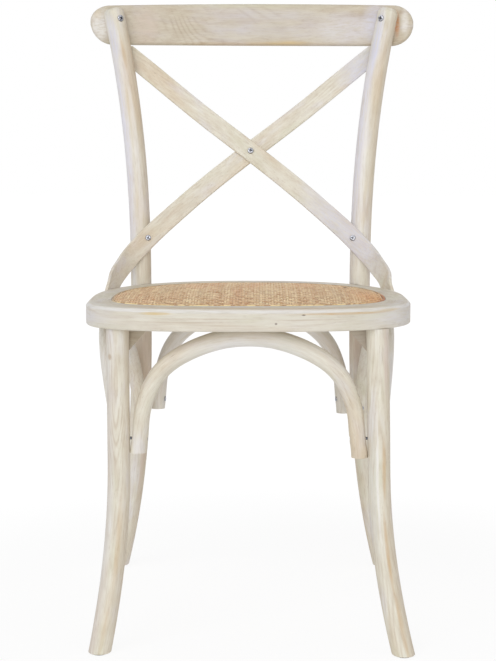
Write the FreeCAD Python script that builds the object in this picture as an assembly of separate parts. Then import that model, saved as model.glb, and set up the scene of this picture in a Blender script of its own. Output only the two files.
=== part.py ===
"""Cross back dining chair: bentwood frame, woven cane seat and four bent stretcher hoops.

Millimetres. +Z is up, the sitter faces -Y and +X is to the right of someone looking at the
chair from the front. The origin is on the floor, under the middle of the chair's bounds.
"Setback" is the distance behind the front edge of the seat ring.
"""
import FreeCAD
import Part
import math
import os

V = FreeCAD.Vector
LEFT, RIGHT = -1, 1
SIDES = (LEFT, RIGHT)


def by_side(left, right):
    return {LEFT: left, RIGHT: right}


# Clearances
FIT_GAP = 0.15
HOLE_GAP = 0.1
SEAT_GAP = 0.3

# Seat ring
SEAT_HEIGHT = 476.2
SEAT_SLOPE = 1.0
RING_THICKNESS = 29.5
RING_HALF_WIDTH = by_side(225.4, 223.2)
RING_DEPTH = 406.0
RING_WIDEST_SETBACK = 146.0
RING_SIDE_WALL = 33.0
RING_FRONT_WALL = 49.0
RING_REAR_WALL = 37.0
RING_FRONT_SQUARENESS = by_side(3.4, 2.8)
RING_REAR_SQUARENESS = 2.4
OPENING_WIDEST_SETBACK = 158.0
RING_CHAMFER = 4.8
RING_LOWER_ROUND = 2.0
RABBET_DEPTH = 12.0
LEDGE_WIDTH = 9.0

# Seat panel
CANE_THICKNESS = 2.0
CANE_EDGE_GAP = 0.6
CROWN_HEIGHT = 11.5
CROWN_FULLNESS = 2.2
CROWN_GRID = 17

# Legs
LEG_DIAMETER = 30.8
GLIDE_HEIGHT = 2.0
GLIDE_DIAMETER = 21.0
GLIDE_PIN_DIAMETER = 3.0
GLIDE_PIN_LENGTH = 14.0
FOOT_CHAMFER = 1.2

FRONT_LEG_TOP_HALF = by_side(177.0, 173.0)
FRONT_LEG_KNEE_HALF = 176.6
FRONT_FOOT_HALF = by_side(204.3, 211.0)
FRONT_LEG_SETBACK = 47.0
FRONT_FOOT_SETBACK = by_side(23.5, 15.5)
FRONT_KNEE_HEIGHT = 260.0
FRONT_FLARE_POWER = 1.9
TENON_DIAMETER = 19.0
TENON_LENGTH = 21.0

REAR_LEG_WAIST_HALF = 165.2
REAR_LEG_WAIST_SETBACK = 360.0
REAR_LEG_WAIST_HEIGHT = 448.0
REAR_FOOT_HALF = 213.0
REAR_FOOT_SETBACK = 476.0
REAR_TOP_HALF = 209.5
REAR_TOP_SETBACK = 427.0
REAR_TOP_HEIGHT = 881.5
REAR_TOP_ROUND = 8.5
REAR_SPREAD_POWER_UP = 2.3
REAR_SPREAD_POWER_DOWN = 2.4
REAR_LEAN_POWER_UP = 1.35
REAR_SWEEP_POWER_DOWN = 1.6

# Crest rail
CREST_TOP_HEIGHT = 890.0
CREST_HEIGHT = 64.0
CREST_THICKNESS = 18.0
CREST_HALF_WIDTH = by_side(243.8, 246.8)
CREST_END_HEIGHT = 61.0
CREST_BOTTOM_RISE = by_side(1.4, -0.4)
CREST_TIP_HEIGHT = by_side(37.0, 32.5)
CREST_LOW_REACH = by_side(35.0, 33.0)
CREST_HIGH_REACH = by_side(30.0, 30.5)
CREST_ARC_RADIUS = 843.0
CREST_TILT = 9.0
CREST_EDGE_ROUND = 4.5
CREST_LET_IN = 4.5

# Crossed back slats
SLAT_THICKNESS = 4.8
SLAT_WIDTH_TOP = 27.6
SLAT_WIDTH_FOOT = 29.6
SLAT_CORNER = 1.6
SLAT_LET_IN = 1.2
SLAT_CROSS_HEIGHT = 667.6
SLAT_SCREW_HALF = 153.7
SLAT_SCREW_HEIGHT = 539.6
SLAT_FOOT_SETBACK = 276.0
SLAT_FOOT_HEIGHT = 444.0
SLAT_CREST_GAP = 0.3

# Stretcher hoops
HOOP_CROWN_DIAMETER = 26.0
HOOP_END_DIAMETER = 22.0
HOOP_TAPER_POWER = 2.5
HOOP_LET_IN = 0.8
SIDE_HOOP_BULGE = by_side(201.0, 192.0)
HOOP_LEG_GAP = 0.7
HOOP_END_HEIGHT = 272.0
FRONT_HOOP_END_HEIGHT = by_side(275.5, 269.0)
REAR_HOOP_END_HEIGHT = by_side(273.5, 267.0)

# Corner blocks behind the front legs
BLOCK_WIDTH = 30.0
BLOCK_DROP = 33.0
BLOCK_THICKNESS = 16.0

# Fasteners: head diameter, head height, shank diameter, shank length
POST_SCREW = (10.0, 2.6, 4.5, 34.0)
SLAT_SCREW = (8.5, 2.2, 4.0, 24.0)
HOOP_SCREW = (8.0, 2.0, 4.0, 32.0)
HOOP_CROWN_SCREW = (8.0, 2.0, 4.0, 38.0)
BOARD_SCREW = (7.0, 1.8, 3.5, 20.0)
RECESS_LENGTH = 0.56
RECESS_WIDTH = 0.17
RECESS_DEPTH = 0.62
BOLT_HEAD_DIAMETER = 13.0
BOLT_HEAD_HEIGHT = 4.0
BOLT_DIAMETER = 6.0
NUT_ACROSS_FLATS = 10.0
NUT_HEIGHT = 5.0
WASHER_DIAMETER = 14.0
WASHER_THICKNESS = 1.6
CROSS_BOLT_DIAMETER = 4.0
CROSS_HEAD_DIAMETER = 9.0
CROSS_HEAD_HEIGHT = 2.4
CROSS_NUT_DIAMETER = 9.0
CROSS_NUT_HEIGHT = 3.0

# Derived
LEG_RADIUS = LEG_DIAMETER / 2
HOOP_CROWN_RADIUS = HOOP_CROWN_DIAMETER / 2
HOOP_END_RADIUS = HOOP_END_DIAMETER / 2
SLOPE = math.tan(math.radians(SEAT_SLOPE))
ORIGIN_SETBACK = (REAR_FOOT_SETBACK + LEG_RADIUS) / 2
LOFT_STATIONS = 11


def at(x, setback, z):
    """A point given by its setback behind the front edge of the seat ring."""
    return V(x, setback - ORIGIN_SETBACK, z)


def ring_top(setback):
    return SEAT_HEIGHT - SLOPE * setback


def ring_under(setback):
    return ring_top(setback) - RING_THICKNESS


def unit(vector):
    return vector * (1.0 / vector.Length)


def signed_power(value, power):
    return math.copysign(abs(value) ** power, value)


# Solids from sections

def spline_through(points):
    curve = Part.BSplineCurve()
    curve.interpolate(points)
    return curve


def placed(shape, origin, x_axis, normal):
    """Put a shape drawn in the XY plane at origin, with its own Z along normal."""
    turn = FreeCAD.Rotation(x_axis, V(0, 0, 0), normal, "ZXY")
    shape.Placement = FreeCAD.Placement(origin, turn)
    return shape


def loft(wires):
    return Part.makeLoft(wires, True, False)


def rod(curve, radius_at, side_axis, stations=LOFT_STATIONS):
    """A round bar along a curve; radius_at takes the fraction of the way along."""
    first, last = curve.FirstParameter, curve.LastParameter
    wires = []
    for i in range(stations):
        share = i / (stations - 1)
        u = first + (last - first) * share
        circle = Part.Wire([Part.Circle(V(0, 0, 0), V(0, 0, 1), radius_at(share)).toShape()])
        wires.append(placed(circle, curve.value(u), side_axis, curve.tangent(u)[0]))
    return loft(wires)


def rounded_rectangle(width, height, corner):
    """A closed wire around the origin, width along X and height along Y."""
    a, b = width / 2, height / 2
    r = min(corner, 0.48 * width, 0.48 * height)
    k = r * (1 - math.sqrt(0.5))
    corners = [(a, b), (-a, b), (-a, -b), (a, -b)]
    edges = []
    for i, (cx, cy) in enumerate(corners):
        sx, sy = math.copysign(1, cx), math.copysign(1, cy)
        along_y = V(cx, cy - sy * r, 0)
        along_x = V(cx - sx * r, cy, 0)
        middle = V(cx - sx * k, cy - sy * k, 0)
        start, end = (along_y, along_x) if i % 2 == 0 else (along_x, along_y)
        edges.append(Part.Arc(start, middle, end).toShape())
        nx, ny = corners[(i + 1) % 4]
        if i % 2 == 0:
            target = V(nx - math.copysign(1, nx) * r, ny, 0)
        else:
            target = V(nx, ny - math.copysign(1, ny) * r, 0)
        edges.append(Part.makeLine(end, target))
    return Part.Wire(edges)


def half_space(point, normal, reach=700.0):
    """A large block on the side of a plane that its normal points to."""
    side = V(1, 0, 0) if abs(unit(normal).x) < 0.9 else V(0, 1, 0)
    block = Part.makeBox(2 * reach, 2 * reach, reach, V(-reach, -reach, 0))
    return placed(block, point, side, normal)


def under_ring_plane(clearance=0.0):
    """Everything above the underside of the seat ring, for cutting what bears on it."""
    normal = V(0, SLOPE, 1)
    return half_space(at(0, 0, ring_under(0) - clearance), normal)


def cylinder(base, direction, diameter, length):
    return Part.makeCylinder(diameter / 2, length, base, direction)


# Fasteners

def cross_recess(top, direction, head_d, head_h):
    """The driver's cross, sunk into a head whose upper face is at top."""
    length, width, depth = RECESS_LENGTH * head_d, RECESS_WIDTH * head_d, RECESS_DEPTH * head_h
    arms = [Part.makeBox(x, y, 2 * depth, V(-x / 2, -y / 2, -depth))
            for x, y in ((length, width), (width, length))]
    aside = unit(direction.cross(V(0.5, 0.3, 1)))
    return placed(arms[0].fuse(arms[1]), top, aside, direction)


def screw(seat, direction, size):
    """A domed screw whose head rests at seat and whose shank runs along direction."""
    head_d, head_h, shank_d, length = size
    head = cylinder(seat - direction * head_h, direction, head_d, head_h)
    rim = [e for e in head.Edges if e.CenterOfMass.distanceToPoint(seat - direction * head_h) < 0.01]
    head = head.makeFillet(0.75 * head_h, [e for e in rim if e.Closed and e.Length > head_d])
    head = head.cut(cross_recess(seat - direction * head_h, direction, head_d, head_h))
    tip = shank_d / 2
    shank = cylinder(seat, direction, shank_d, length - tip)
    point = Part.makeCone(tip, 0.2, tip, seat + direction * (length - tip), direction)
    return head.fuse([shank, point]).removeSplitter()


def screw_hole(seat, direction, size, clear_above=14.0):
    """The space a screw needs: its shank, and a flat spot face for its head."""
    head_d, _, shank_d, length = size
    shank = cylinder(seat, direction, shank_d + 2 * HOLE_GAP, length + HOLE_GAP)
    head = cylinder(seat - direction * clear_above, direction, head_d + 2 * FIT_GAP, clear_above)
    return shank.fuse(head)


def hexagon(across_flats, height, base, direction):
    r = across_flats / math.sqrt(3)
    corners = [V(r * math.cos(math.radians(60 * i)), r * math.sin(math.radians(60 * i)), 0)
               for i in range(7)]
    prism = Part.Face(Part.makePolygon(corners)).extrude(V(0, 0, height))
    side = V(0, 0, 1) if abs(direction.z) < 0.9 else V(1, 0, 0)
    return placed(prism, base, side, direction)


# Seat ring and panel outlines

def quadrant(side, rear, widest, front, back):
    """Depth and squareness of the part of a seat outline on one side, front or rear."""
    if rear:
        return back - widest, RING_REAR_SQUARENESS
    return widest - front, RING_FRONT_SQUARENESS[side]


def outline_points(half_width, front, back, widest, inset=0.0, count=72):
    """Points around a rounded seat outline, each moved inwards by inset along its normal."""
    points = []
    for i in range(count):
        angle = 2 * math.pi * (i + 0.5) / count
        c, s = math.cos(angle), math.sin(angle)
        side = RIGHT if c > 0 else LEFT
        depth, power = quadrant(side, s > 0, widest, front, back)
        x = half_width[side] * signed_power(c, 2 / power)
        y = widest + depth * signed_power(s, 2 / power)
        if inset:
            gx = signed_power(x / half_width[side], power - 1) / half_width[side]
            gy = signed_power((y - widest) / depth, power - 1) / depth
            norm = math.hypot(gx, gy)
            x -= inset * gx / norm
            y -= inset * gy / norm
        points.append((x, y))
    return points


def outline_wire(points, height=0.0):
    """A closed smooth wire in the seat plane, height above the ring's upper face."""
    curve = Part.BSplineCurve()
    curve.interpolate([at(x, y, ring_top(y) + height) for x, y in points], PeriodicFlag=True)
    return Part.Wire([curve.toShape()])


def outline_prism(points, bottom, top):
    """The outline as a solid between two heights measured from the ring's upper face."""
    face = Part.Face(outline_wire(points, bottom))
    return face.extrude(unit(V(0, SLOPE, 1)) * (top - bottom))


def ring_outer(inset=0.0):
    return outline_points(RING_HALF_WIDTH, 0.0, RING_DEPTH, RING_WIDEST_SETBACK, inset)


def opening_half():
    return {side: RING_HALF_WIDTH[side] - RING_SIDE_WALL for side in SIDES}


def ring_inner(inset=0.0):
    return outline_points(opening_half(), RING_FRONT_WALL, RING_DEPTH - RING_REAR_WALL,
                          OPENING_WIDEST_SETBACK, inset)


def ring_side_point(setback, side):
    """Point on the rear half of the ring's outer face, and the direction out of it."""
    depth = RING_DEPTH - RING_WIDEST_SETBACK
    y_share = (setback - RING_WIDEST_SETBACK) / depth
    power = RING_REAR_SQUARENESS
    x_share = (1 - y_share ** power) ** (1 / power)
    half = RING_HALF_WIDTH[side]
    outward = V(side * x_share ** (power - 1) / half, y_share ** (power - 1) / depth, 0)
    return side * x_share * half, unit(outward)


def setback_on_ring(x, side):
    """Setback of the ring's outer face where it has a given half width, behind its middle."""
    power = RING_REAR_SQUARENESS
    share = (1 - (x / RING_HALF_WIDTH[side]) ** power) ** (1 / power)
    return RING_WIDEST_SETBACK + share * (RING_DEPTH - RING_WIDEST_SETBACK)


def make_ring():
    outer = outline_prism(ring_outer(), -RING_THICKNESS, 0.0)
    top_rim = [e for e in outer.Edges if e.CenterOfMass.z > SEAT_HEIGHT - RING_THICKNESS / 2]
    outer = outer.makeChamfer(RING_CHAMFER, top_rim)
    low_rim = [e for e in outer.Edges if e.BoundBox.ZMax < ring_under(0) + 0.5]
    outer = outer.makeFillet(RING_LOWER_ROUND, low_rim)
    opening = outline_prism(ring_inner(LEDGE_WIDTH), -RING_THICKNESS - 5, 5)
    rabbet = outline_prism(ring_inner(), -RABBET_DEPTH, 5)
    return outer.cut(opening.fuse(rabbet))


def crown_rise(x, setback):
    """Height of the seat's crown over the ring's upper face: nothing at the opening's edge."""
    side = RIGHT if x > 0 else LEFT
    rear = setback > OPENING_WIDEST_SETBACK
    depth, power = quadrant(side, rear, OPENING_WIDEST_SETBACK,
                            RING_FRONT_WALL, RING_DEPTH - RING_REAR_WALL)
    across = abs(x) / opening_half()[side]
    along = abs(setback - OPENING_WIDEST_SETBACK) / depth
    reach = (across ** power + along ** power) ** (1 / power)
    return CROWN_HEIGHT * (1 - reach ** CROWN_FULLNESS)


def above_crown(drop):
    """Everything above the crowned seat surface lowered by drop."""
    half = 1.12 * max(opening_half().values())
    front = RING_FRONT_WALL / 2
    back = RING_DEPTH - RING_REAR_WALL / 2
    rows = []
    for i in range(CROWN_GRID):
        x = -half + 2 * half * i / (CROWN_GRID - 1)
        row = []
        for j in range(CROWN_GRID):
            setback = front + (back - front) * j / (CROWN_GRID - 1)
            row.append(at(x, setback, ring_top(setback) + crown_rise(x, setback) - drop))
        rows.append(row)
    surface = Part.BSplineSurface()
    surface.interpolate(rows)
    return surface.toShape().extrude(V(0, 0, 4 * CROWN_HEIGHT))


def crowned_panel(inset, drop):
    blank = outline_prism(ring_inner(inset), -RABBET_DEPTH, 2 * CROWN_HEIGHT)
    return blank.cut(above_crown(drop))


def make_board():
    return crowned_panel(CANE_EDGE_GAP + CANE_THICKNESS, CANE_THICKNESS)


def make_cane(board):
    return crowned_panel(CANE_EDGE_GAP, 0.0).cut(board)


# Legs

def front_leg_centre(side, z):
    """Half spread and setback of a front leg's centre line at height z."""
    flare = max(0.0, (FRONT_KNEE_HEIGHT - z) / FRONT_KNEE_HEIGHT) ** FRONT_FLARE_POWER
    rise = max(0.0, (z - FRONT_KNEE_HEIGHT) / (ring_under(0) - FRONT_KNEE_HEIGHT))
    half = (FRONT_LEG_KNEE_HALF
            + (FRONT_FOOT_HALF[side] - FRONT_LEG_KNEE_HALF) * flare
            + (FRONT_LEG_TOP_HALF[side] - FRONT_LEG_KNEE_HALF) * rise)
    setback = FRONT_LEG_SETBACK - (FRONT_LEG_SETBACK - FRONT_FOOT_SETBACK[side]) * flare
    return half, setback


def front_leg_path(side):
    points = []
    top, low = SEAT_HEIGHT, -12.0
    for i in range(LOFT_STATIONS):
        z = top - (top - low) * i / (LOFT_STATIONS - 1)
        half, setback = front_leg_centre(side, z)
        points.append(at(side * half, setback, z))
    return spline_through(points)


def rear_leg_centre(z):
    """Half spread and setback of a rear leg's centre line at height z."""
    if z >= REAR_LEG_WAIST_HEIGHT:
        share = (z - REAR_LEG_WAIST_HEIGHT) / (REAR_TOP_HEIGHT - REAR_LEG_WAIST_HEIGHT)
        spread, lean = share ** REAR_SPREAD_POWER_UP, share ** REAR_LEAN_POWER_UP
        end_half, end_setback = REAR_TOP_HALF, REAR_TOP_SETBACK
    else:
        share = (REAR_LEG_WAIST_HEIGHT - z) / REAR_LEG_WAIST_HEIGHT
        spread, lean = share ** REAR_SPREAD_POWER_DOWN, share ** REAR_SWEEP_POWER_DOWN
        end_half, end_setback = REAR_FOOT_HALF, REAR_FOOT_SETBACK
    half = REAR_LEG_WAIST_HALF + (end_half - REAR_LEG_WAIST_HALF) * spread
    setback = REAR_LEG_WAIST_SETBACK + (end_setback - REAR_LEG_WAIST_SETBACK) * lean
    return half, setback


def rear_leg_point(side, z):
    half, setback = rear_leg_centre(z)
    return at(side * half, setback, z)


def rear_leg_path(side):
    low = -12.0
    top = REAR_TOP_HEIGHT - REAR_TOP_ROUND
    count = LOFT_STATIONS + 4
    heights = [top - (top - low) * i / (count - 1) for i in range(count)]
    return spline_through([rear_leg_point(side, z) for z in heights])


def cut_foot(leg):
    leg = leg.cut(half_space(V(0, 0, GLIDE_HEIGHT), V(0, 0, -1)))
    sole = [e for e in leg.Edges if e.BoundBox.ZMax < GLIDE_HEIGHT + 0.01]
    return leg.makeChamfer(FOOT_CHAMFER, sole)


def make_front_leg(side):
    leg = rod(front_leg_path(side), lambda share: LEG_RADIUS, V(0, 1, 0))
    leg = cut_foot(leg.cut(under_ring_plane()))
    return leg.fuse(front_tenon(side, 0.0)).removeSplitter()


def front_tenon(side, gap):
    base = at(side * FRONT_LEG_TOP_HALF[side], FRONT_LEG_SETBACK, ring_under(FRONT_LEG_SETBACK) - 8)
    return cylinder(base, unit(V(0, SLOPE, 1)), TENON_DIAMETER + 2 * gap, TENON_LENGTH + 8 + gap)


def make_rear_leg(side):
    path = rear_leg_path(side)
    leg = rod(path, lambda share: LEG_RADIUS, V(0, 1, 0), LOFT_STATIONS + 4)
    return cut_foot(leg).fuse(post_cap(path))


def post_cap(path):
    """The rounded top end of a post."""
    start = path.value(path.FirstParameter)
    up = path.tangent(path.FirstParameter)[0] * -1
    cap = cylinder(start, up, LEG_DIAMETER, REAR_TOP_ROUND)
    crown = start + up * REAR_TOP_ROUND
    rim = [e for e in cap.Edges if e.Closed and e.CenterOfMass.distanceToPoint(crown) < 0.1]
    return cap.makeFillet(0.98 * REAR_TOP_ROUND, rim)


def foot_centre(kind, side):
    if kind == "front":
        return at(side * FRONT_FOOT_HALF[side], FRONT_FOOT_SETBACK[side], 0)
    half, setback = rear_leg_centre(0)
    return at(side * half, setback, 0)


def make_glides():
    glides, holes = [], []
    for kind in ("front", "rear"):
        for side in SIDES:
            base = foot_centre(kind, side)
            pad = cylinder(base, V(0, 0, 1), GLIDE_DIAMETER, GLIDE_HEIGHT)
            lower = [e for e in pad.Edges if e.Closed and e.BoundBox.ZMax < 0.01]
            pad = pad.makeFillet(0.6 * GLIDE_HEIGHT, lower)
            pin = cylinder(base + V(0, 0, GLIDE_HEIGHT), V(0, 0, 1),
                           GLIDE_PIN_DIAMETER, GLIDE_PIN_LENGTH)
            glides.append(pad.fuse(pin))
            holes.append(cylinder(base + V(0, 0, GLIDE_HEIGHT), V(0, 0, 1),
                                  GLIDE_PIN_DIAMETER + 2 * HOLE_GAP, GLIDE_PIN_LENGTH + HOLE_GAP))
    return glides, holes


# Crest rail

def crest_face_setback():
    """Setback of the arc centre, and of the crest rail's front face at its middle."""
    height = CREST_TOP_HEIGHT - CREST_HEIGHT / 2
    half, post_setback = rear_leg_centre(height)
    bow = CREST_ARC_RADIUS - math.sqrt(CREST_ARC_RADIUS ** 2 - half ** 2)
    face = post_setback + LEG_RADIUS - CREST_LET_IN + bow
    return face - CREST_ARC_RADIUS, height


def crest_band():
    """The rail's stock: a leaning board bent along an arc, longer and taller than needed."""
    centre_setback, height = crest_face_setback()
    tilt = math.radians(CREST_TILT)
    up = V(0, math.sin(tilt), math.cos(tilt))
    out = V(0, math.cos(tilt), -math.sin(tilt))
    low = at(0, centre_setback + CREST_ARC_RADIUS, height) - up * CREST_HEIGHT
    corners = [low, low + out * CREST_THICKNESS,
               low + out * CREST_THICKNESS + up * (2 * CREST_HEIGHT),
               low + up * (2 * CREST_HEIGHT), low]
    face = Part.Face(Part.makePolygon(corners))
    reach = 1.15 * math.degrees(max(CREST_HALF_WIDTH.values()) / CREST_ARC_RADIUS)
    axis = at(0, centre_setback, 0)
    face.rotate(axis, V(0, 0, 1), -reach)
    return face.revolve(axis, V(0, 0, 1), 2 * reach)


def quarter_ellipse(corner, flat, upright):
    """Quarter of an ellipse that leaves a level line at flat and reaches its tip at upright.
    The corner is where the two tangents meet."""
    across, up = flat - corner, upright - corner
    shares = [math.pi / 2 * i / 8 for i in range(9)]
    points = [corner + across * (1 - math.sin(t)) + up * (1 - math.cos(t)) for t in shares]
    curve = Part.BSplineCurve()
    curve.interpolate(points, InitialTangent=across * -1, FinalTangent=up)
    return curve.toShape()


def crest_outline():
    """The rail's front view: near level lower edge, crowned upper edge and rounded ends."""
    bottom = {side: CREST_TOP_HEIGHT - CREST_HEIGHT + CREST_BOTTOM_RISE[side] for side in SIDES}
    shoulder = CREST_TOP_HEIGHT - CREST_HEIGHT + CREST_END_HEIGHT
    low, high, ends = {}, {}, {}
    for side in SIDES:
        tip_x = side * CREST_HALF_WIDTH[side]
        low[side] = V(tip_x - side * CREST_LOW_REACH[side], 0, bottom[side])
        high[side] = V(tip_x - side * CREST_HIGH_REACH[side], 0, shoulder)
        tip = V(tip_x, 0, CREST_TOP_HEIGHT - CREST_HEIGHT + CREST_TIP_HEIGHT[side])
        ends[side] = [quarter_ellipse(V(tip_x, 0, bottom[side]), low[side], tip),
                      quarter_ellipse(V(tip_x, 0, shoulder), high[side], tip)]
    edges = [Part.makeLine(low[LEFT], low[RIGHT]),
             Part.Arc(high[RIGHT], V(0, 0, CREST_TOP_HEIGHT), high[LEFT]).toShape()]
    return Part.Wire(Part.sortEdges(edges + ends[LEFT] + ends[RIGHT])[0])


def make_crest():
    centre_setback, _ = crest_face_setback()
    prism = Part.Face(crest_outline()).extrude(V(0, CREST_ARC_RADIUS, 0))
    prism.translate(at(0, centre_setback + CREST_ARC_RADIUS / 2, 0))
    rail = crest_band().common(prism).Solids[0]
    return rail.makeFillet(CREST_EDGE_ROUND, rail_rims(rail))


def rail_rims(rail):
    """The edges around the rail's front and back faces."""
    faces = sorted(rail.Faces, key=lambda face: face.Area)[-2:]
    return [edge for face in faces for edge in face.Edges]


# Crossed slats

def slat_on_ring(side, setback, z):
    """Centre and face of a slat where it lies against the ring's outer face."""
    x, outward = ring_side_point(setback, side)
    off = outward * (SLAT_THICKNESS / 2 + FIT_GAP)
    return V(side * (x + off.x), setback + off.y, z), V(-side * outward.x, -outward.y, 0.1)


def slat_stations(side, lift):
    """Centre, share of the way down and face direction along a slat that starts behind the
    post on the other side, crosses the middle, and ends on the seat ring on this side.
    Half widths count towards this side."""
    top_half, top_z = 196.5, 821.0
    _, post = rear_leg_centre(top_z)
    behind = post + LEG_RADIUS + SLAT_THICKNESS / 2 - SLAT_LET_IN
    _, post = rear_leg_centre(SLAT_SCREW_HEIGHT)
    before = post - LEG_RADIUS - SLAT_THICKNESS / 2 + SLAT_LET_IN
    middle = (behind * SLAT_SCREW_HALF + before * top_half) / (top_half + SLAT_SCREW_HALF)
    cross = middle + lift
    high_y = behind * 0.385 + cross * 0.615 + lift * 0.2
    low_y = before * 0.49 + cross * 0.51 + lift * 0.2
    lean = (high_y - low_y) / (725.0 - 609.0)
    on_ring = []
    for back, up in ((14.0, 27.0), (7.0, 17.0), (2.5, 8.5), (0.0, 0.0)):
        place, face = slat_on_ring(side, SLAT_FOOT_SETBACK + back, SLAT_FOOT_HEIGHT + up)
        on_ring.append((place, 1.0, face))
    return [
        (V(-202.6, behind + 1.0, 825.7), 0.0, V(-0.12, -1, 0.2)),
        (V(-top_half, behind, top_z), 0.03, V(-0.12, -1, 0.2)),
        (V(-149.8, behind * 0.76 + cross * 0.24, 784.2), 0.15, V(-0.04, -1, 0.26)),
        (V(-76.3, high_y, 725.0), 0.35, V(0, -1, lean)),
        (V(0, cross, SLAT_CROSS_HEIGHT), 0.5, V(0, -1, lean)),
        (V(75.0, low_y, 609.0), 0.65, V(0, -1, lean)),
        (V(120.0, before * 0.78 + cross * 0.22, 570.5), 0.8, V(0, -1, 0.22)),
        (V(SLAT_SCREW_HALF, before, SLAT_SCREW_HEIGHT), 1.0, V(-0.08, -1, 0.14)),
        (V(172.4, before - 5.0, 520.0), 1.0, V(-0.26, -0.97, 0.1)),
        (V(181.8, before - 14.0, 509.5), 1.0, V(-0.51, -0.86, 0.1)),
        (V(189.8, before - 26.0, 499.0), 1.0, V(-0.68, -0.73, 0.1)),
        (V(200.4, before - 49.0, 481.5), 1.0, V(-0.84, -0.54, 0.1)),
    ] + on_ring


def make_slat_blank(side, lift):
    rows = slat_stations(side, lift)
    centres = [at(side * p.x, p.y, p.z) for p, _, _ in rows]
    curve = spline_through(centres)
    wires = []
    for centre, (_, share, face) in zip(centres, rows):
        tangent = curve.tangent(curve.parameter(centre))[0]
        face = V(side * face.x, face.y, face.z)
        face = unit(face - tangent * face.dot(tangent))
        across = tangent.cross(face)
        width = SLAT_WIDTH_TOP + (SLAT_WIDTH_FOOT - SLAT_WIDTH_TOP) * share
        wire = rounded_rectangle(width, SLAT_THICKNESS, SLAT_CORNER)
        wires.append(placed(wire, centre, across, tangent))
    return loft(wires)


# Stretcher hoops

# Shares of the half spread and of the drop from the crown, from the middle to the end
FRONT_HOOP_SHAPE = ((0.0, 0.0), (0.267, 0.029), (0.482, 0.098), (0.680, 0.200), (0.812, 0.315),
                    (0.884, 0.425), (0.936, 0.545), (0.968, 0.685), (0.984, 0.820), (0.995, 0.94))
REAR_HOOP_SHAPE = ((0.0, 0.0), (0.279, 0.026), (0.523, 0.100), (0.722, 0.225), (0.842, 0.355),
                   (0.914, 0.495), (0.960, 0.635), (0.986, 0.790), (0.997, 0.94))
# Shares of the bow, of the way back and of the rise, from the front end to the rear end
SIDE_HOOP_SHAPE = ((0.01, 0.0, -0.04), (0.016, 0.0, 0.03), (0.078, 0.0, 0.176),
                   (0.312, 0.024, 0.416), (0.651, 0.122, 0.668), (0.910, 0.292, 0.876),
                   (1.0, 0.448, 0.978), (1.0, 0.544, 0.998), (0.938, 0.679, 0.972),
                   (0.763, 0.828, 0.869), (0.537, 0.931, 0.699), (0.333, 0.985, 0.504),
                   (0.130, 0.998, 0.290), (-0.035, 1.0, 0.113), (-0.144, 1.0, -0.04))


def hoop_crown_height(setback):
    return ring_under(setback) - HOOP_CROWN_RADIUS + HOOP_LET_IN


def hoop_end_half(leg_half):
    return leg_half - LEG_RADIUS - HOOP_END_RADIUS - HOOP_LEG_GAP


def hoop_radius(share):
    """Fuller at the crown, slimmer at both ends."""
    swell = math.sin(math.pi * share) ** HOOP_TAPER_POWER
    return HOOP_END_RADIUS + (HOOP_CROWN_RADIUS - HOOP_END_RADIUS) * swell


def cross_hoop(shape, end_half, end_height, crown_setback, end_setback):
    """A hoop that spans from left to right, cut off level at both ends."""
    crown = hoop_crown_height(crown_setback)
    base = end_height[LEFT]
    below = min(end_height.values()) - 6
    limbs = {}
    for side in SIDES:
        limb = [(side * x * end_half[side], crown - drop * (crown - base)) for x, drop in shape]
        limbs[side] = limb[1:] + [(side * end_half[side], below)]
    points = []
    for x, z in limbs[LEFT][::-1] + [(0.0, crown)] + limbs[RIGHT]:
        share = (z - base) / (crown - base)
        points.append(at(x, end_setback + (crown_setback - end_setback) * share, z))
    hoop = rod(spline_through(points), hoop_radius, V(0, 1, 0), 2 * LOFT_STATIONS - 1)
    for side in SIDES:
        floor = half_space(V(0, 0, end_height[side]), V(0, 0, -1))
        lane = Part.makeBox(400, 900, 600, V(0 if side == RIGHT else -400, -450, -50))
        hoop = hoop.cut(floor.common(lane))
    return hoop.cut(under_ring_plane())


def front_hoop_half():
    halves = {}
    for side in SIDES:
        halves[side] = hoop_end_half(front_leg_centre(side, FRONT_HOOP_END_HEIGHT[side] + 25)[0])
    return halves


def rear_hoop_end():
    """Half spread and setback of the rear hoop's ends."""
    half, _ = rear_leg_centre(REAR_HOOP_END_HEIGHT[LEFT] + 12)
    _, setback = rear_leg_centre(REAR_HOOP_END_HEIGHT[LEFT])
    return by_side(hoop_end_half(half), hoop_end_half(half)), setback


def make_front_hoop():
    return cross_hoop(FRONT_HOOP_SHAPE, front_hoop_half(), FRONT_HOOP_END_HEIGHT,
                      FRONT_LEG_SETBACK, FRONT_LEG_SETBACK)


def make_rear_hoop():
    half, setback = rear_hoop_end()
    return cross_hoop(REAR_HOOP_SHAPE, half, REAR_HOOP_END_HEIGHT,
                      RING_DEPTH - RING_REAR_WALL / 2, setback)


def side_hoop_rows(side):
    """Half spread, setback and height along a side hoop, from front end to rear end.
    The rear limb follows the rear leg's own bend."""
    front = FRONT_LEG_SETBACK + LEG_RADIUS + HOOP_END_RADIUS + SEAT_GAP
    crown = hoop_crown_height(RING_DEPTH / 2)
    rows = []
    for bow, along, rise in SIDE_HOOP_SHAPE:
        z = HOOP_END_HEIGHT + (crown - HOOP_END_HEIGHT) * rise
        leg_half, leg_setback = rear_leg_centre(z)
        rear = leg_setback - LEG_RADIUS - HOOP_END_RADIUS - HOOP_LEG_GAP
        base = FRONT_LEG_KNEE_HALF + (leg_half - FRONT_LEG_KNEE_HALF) * along
        half = base + (SIDE_HOOP_BULGE[side] - base) * bow
        rows.append((side * half, front + (rear - front) * along, z))
    return rows


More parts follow.
